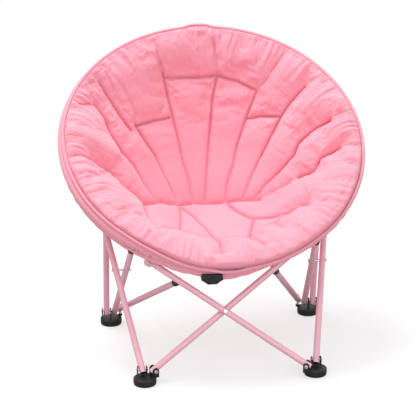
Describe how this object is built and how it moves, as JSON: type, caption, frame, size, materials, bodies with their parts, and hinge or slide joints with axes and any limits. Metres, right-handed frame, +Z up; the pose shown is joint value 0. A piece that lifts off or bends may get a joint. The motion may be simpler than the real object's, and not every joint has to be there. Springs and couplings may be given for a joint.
{
  "type": "folding saucer chair",
  "caption": "Round padded bowl seat on a tilted ring that folds in half, carried by side frames and crossed front tubes on round feet.",
  "frame": {"origin": "on the floor under the middle of the open chair's bounding box", "axes": "+X to the chair's right as seen from in front, +Y to the rear, +Z up"},
  "size_m": [0.8, 0.702, 0.7514],
  "materials": {
    "pink_fabric": "matte",
    "pink_steel": "gloss",
    "black_plastic": "matte",
    "bright_steel": "satin"
  },
  "bodies": {
    "left_frame": {"left_front_foot": "black_plastic", "left_front_sole": "black_plastic", "left_rear_foot": "black_plastic", "left_rear_sole": "black_plastic", "left_long_tube": "pink_steel", "left_short_tube": "pink_steel", "left_upright": "pink_steel", "left_frame_plugs": "black_plastic", "left_frame_pins": "bright_steel", "left_saddle_clip": "black_plastic", "left_cross_pin": "bright_steel", "left_stay_stud": "bright_steel"},
    "left_link": {"left_swivel": "black_plastic"},
    "left_ring": {"left_ring_tube": "pink_steel", "left_front_ring_leaf": "black_plastic", "left_rear_ring_leaf": "black_plastic", "left_pivot_lug": "black_plastic", "left_lug_pin": "bright_steel", "left_cross_tab": "pink_steel", "left_cross_tab_rivet": "bright_steel", "left_rim_sleeve": "pink_fabric", "left_seat_pad": "pink_fabric", "left_seat_shell": "pink_fabric", "ring_hinge_pins": "bright_steel"},
    "left_cross": {"left_cross_tube": "pink_steel", "left_cross_plugs": "black_plastic", "centre_bolt": "bright_steel"},
    "left_stay_arm": {"left_stay": "pink_steel", "left_stay_hook": "black_plastic"},
    "right_frame": {"right_front_foot": "black_plastic", "right_front_sole": "black_plastic", "right_rear_foot": "black_plastic", "right_rear_sole": "black_plastic", "right_long_tube": "pink_steel", "right_short_tube": "pink_steel", "right_upright": "pink_steel", "right_frame_plugs": "black_plastic", "right_frame_pins": "bright_steel", "right_saddle_clip": "black_plastic", "right_cross_pin": "bright_steel", "right_stay_stud": "bright_steel"},
    "right_link": {"right_swivel": "black_plastic"},
    "right_ring": {"right_ring_tube": "pink_steel", "right_front_ring_leaf": "black_plastic", "right_rear_ring_leaf": "black_plastic", "right_pivot_lug": "black_plastic", "right_lug_pin": "bright_steel", "right_cross_tab": "pink_steel", "right_cross_tab_rivet": "bright_steel", "right_rim_sleeve": "pink_fabric", "right_seat_pad": "pink_fabric", "right_seat_shell": "pink_fabric"},
    "right_cross": {"right_cross_tube": "pink_steel", "right_cross_plugs": "black_plastic", "centre_bolt_head": "bright_steel"},
    "right_stay_arm": {"right_stay": "pink_steel", "right_stay_hook": "black_plastic"}
  },
  "joints": [
    {"name": "left_frame_pitch", "type": "hinge", "parent": "left_frame", "child": "left_link", "pos_m": [-0.33571, 0.19629, 0.57523], "axis": [-1, 0, 0], "range_deg": [0, 35.37]},
    {"name": "left_ring_roll", "type": "hinge", "parent": "left_link", "child": "left_ring", "pos_m": [-0.33571, 0.18253, 0.59489], "axis": [0, 0.8192, 0.5736], "range_deg": [0, 61]},
    {"name": "ring_fold", "type": "hinge", "parent": "left_ring", "child": "right_ring", "pos_m": [0, 0.01142, 0.52147], "axis": [0, -0.8192, -0.5736], "range_deg": [0, 122], "deforming": ["left_seat_pad", "right_seat_pad", "left_seat_shell", "right_seat_shell"]},
    {"name": "right_ring_roll", "type": "hinge", "parent": "right_ring", "child": "right_link", "pos_m": [0.33571, 0.18253, 0.59489], "axis": [0, 0.8192, 0.5736], "range_deg": [0, 61]},
    {"name": "right_frame_pitch", "type": "hinge", "parent": "right_link", "child": "right_frame", "pos_m": [0.33571, 0.19629, 0.57523], "axis": [1, 0, 0], "range_deg": [0, 35.37]},
    {"name": "left_cross_swing", "type": "hinge", "parent": "left_frame", "child": "left_cross", "pos_m": [-0.189, -0.31155, 0.031], "axis": [0.2993, -0.9493, -0.0958], "range_deg": [0, 27]},
    {"name": "right_cross_swing", "type": "hinge", "parent": "right_frame", "child": "right_cross", "pos_m": [0.189, -0.33355, 0.031], "axis": [0.2993, 0.9493, 0.0958], "range_deg": [0, 27.5]},
    {"name": "left_stay_swing", "type": "hinge", "parent": "left_frame", "child": "left_stay_arm", "pos_m": [-0.2425, 0.08145, 0.036], "axis": [0, 0, -1], "range_deg": [0, 5.8]},
    {"name": "right_stay_swing", "type": "hinge", "parent": "right_frame", "child": "right_stay_arm", "pos_m": [0.2425, 0.08145, 0.036], "axis": [0, 0, 1], "range_deg": [0, 5.8]}
  ],
  "couplings": [
    {"joint": "left_frame_pitch", "follows": "ring_fold", "ratio": 0.28994},
    {"joint": "left_ring_roll", "follows": "ring_fold", "ratio": 0.5},
    {"joint": "right_ring_roll", "follows": "ring_fold", "ratio": 0.5},
    {"joint": "right_frame_pitch", "follows": "ring_fold", "ratio": 0.28994},
    {"joint": "left_cross_swing", "follows": "ring_fold", "ratio": 0.22131},
    {"joint": "right_cross_swing", "follows": "ring_fold", "ratio": 0.22541},
    {"joint": "left_stay_swing", "follows": "ring_fold", "ratio": 0.047541},
    {"joint": "right_stay_swing", "follows": "ring_fold", "ratio": 0.047541}
  ]
}
